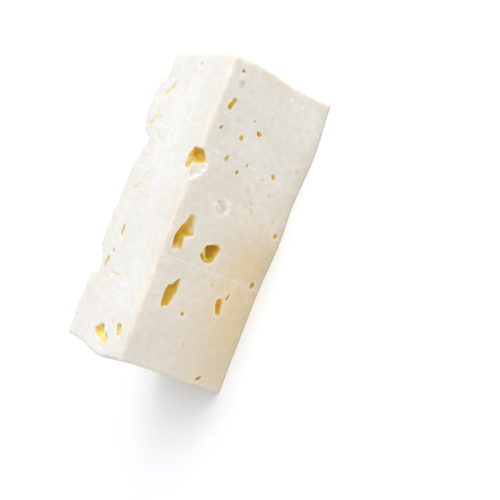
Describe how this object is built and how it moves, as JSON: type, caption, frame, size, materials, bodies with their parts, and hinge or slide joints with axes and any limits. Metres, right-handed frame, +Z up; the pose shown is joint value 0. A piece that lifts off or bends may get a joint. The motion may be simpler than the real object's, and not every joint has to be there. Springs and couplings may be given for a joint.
{
  "type": "block of brined white cheese",
  "caption": "Bar of crumbly brined white cheese, nearly square in section, with irregular golden eyes and two broken places along one long edge.",
  "frame": {"origin": "under the middle of the block, on the face that it rests on: the bottom centre of its bounding box", "axes": "+X along the block, towards the end with the swollen corner; -Y out of the cut front face with the large eyes; +Z up, out of the smooth cut top face"},
  "size_m": [0.1144, 0.0522, 0.043],
  "materials": {
    "curd": "moist, soft satin"
  },
  "bodies": {
    "root": {"cheese_block": "curd"}
  },
  "joints": []
}
